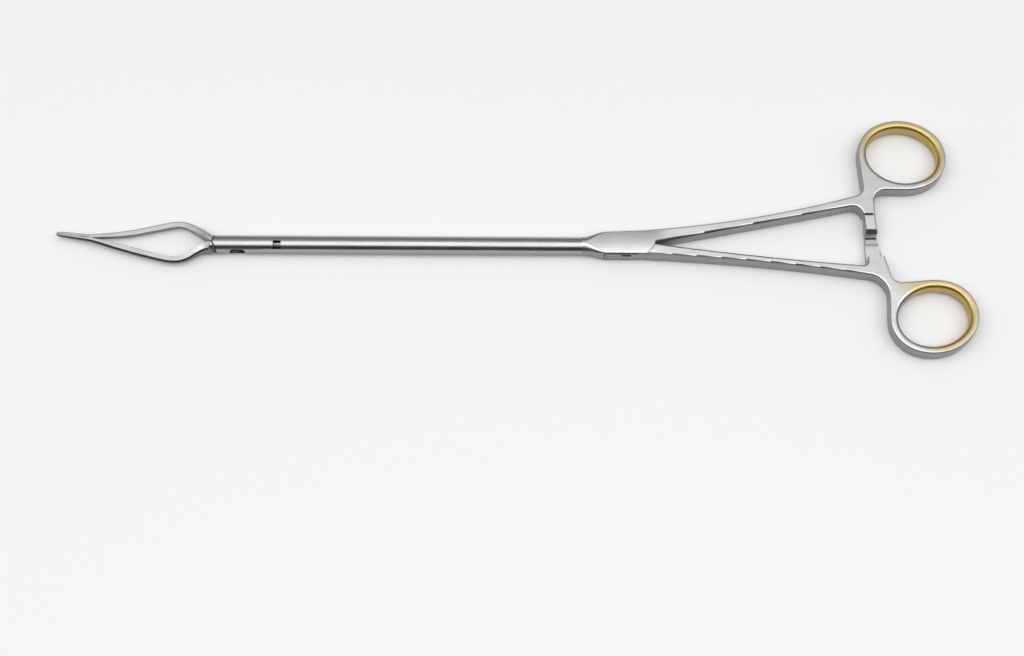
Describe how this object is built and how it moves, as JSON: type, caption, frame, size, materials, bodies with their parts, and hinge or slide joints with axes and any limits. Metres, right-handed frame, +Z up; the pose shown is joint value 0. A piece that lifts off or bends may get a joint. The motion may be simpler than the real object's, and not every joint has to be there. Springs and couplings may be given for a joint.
{
  "type": "thoracoscopic dissecting forceps",
  "caption": "Long ring-handled forceps for keyhole chest surgery, with a straight round shaft, bowed jaws that meet at the tips, and a ratchet between the finger rings.",
  "frame": {"origin": "on the box's flat underside, under the shaft's axis and level with the handle hinge", "axes": "+X from the jaws to the finger rings along the shaft, +Y towards the fixed ring, +Z up from the face that it lies on"},
  "size_m": [0.3071, 0.0847, 0.006],
  "materials": {
    "handle_steel": "satin",
    "shaft_steel": "fine brushed",
    "jaw_steel": "satin",
    "hard_insert": "matte serrated",
    "pin_steel": "ground",
    "rod_steel": "drawn",
    "bush": "plain"
  },
  "bodies": {
    "frame": {"fixed_handle": "handle_steel", "handle_rivet": "pin_steel", "shaft_tube": "shaft_steel", "rear_rod_bush": "bush", "front_rod_bush": "bush", "jaw_housing": "shaft_steel", "upper_dowel": "pin_steel", "lower_dowel": "pin_steel", "jaw_pivot_pin": "pin_steel"},
    "trigger_handle": {"moving_handle": "handle_steel", "drive_pin": "pin_steel"},
    "pull_rod": {"drive_rod": "rod_steel", "cam_blade": "rod_steel", "blade_pin": "pin_steel", "rod_end": "rod_steel", "rod_end_pin": "pin_steel", "cam_pin": "pin_steel"},
    "jaw_up": {"upper_jaw": "jaw_steel", "upper_jaw_insert": "hard_insert"},
    "jaw_down": {"lower_jaw": "jaw_steel", "lower_jaw_insert": "hard_insert"}
  },
  "joints": [
    {"name": "handle_swing", "type": "hinge", "parent": "frame", "child": "trigger_handle", "pos_m": [0, 0.0013, 0.003], "axis": [0, 0, 1], "range_deg": [-28, 0]},
    {"name": "rod_slide", "type": "slide", "parent": "frame", "child": "pull_rod", "axis": [1, 0, 0], "range_m": [-0.00136, 0]},
    {"name": "upper_jaw_swing", "type": "hinge", "parent": "frame", "child": "jaw_up", "pos_m": [-0.1353, 0, 0.003], "axis": [0, 0, 1], "range_deg": [-10.01, 0.01]},
    {"name": "lower_jaw_swing", "type": "hinge", "parent": "frame", "child": "jaw_down", "pos_m": [-0.1353, 0, 0.003], "axis": [0, 0, 1], "range_deg": [-0.01, 10.01]}
  ],
  "couplings": [
    {"joint": "rod_slide", "follows": "handle_swing", "m_per_rad": 0.0027722},
    {"joint": "upper_jaw_swing", "follows": "handle_swing", "ratio": 0.35714},
    {"joint": "lower_jaw_swing", "follows": "handle_swing", "ratio": -0.35714}
  ]
}
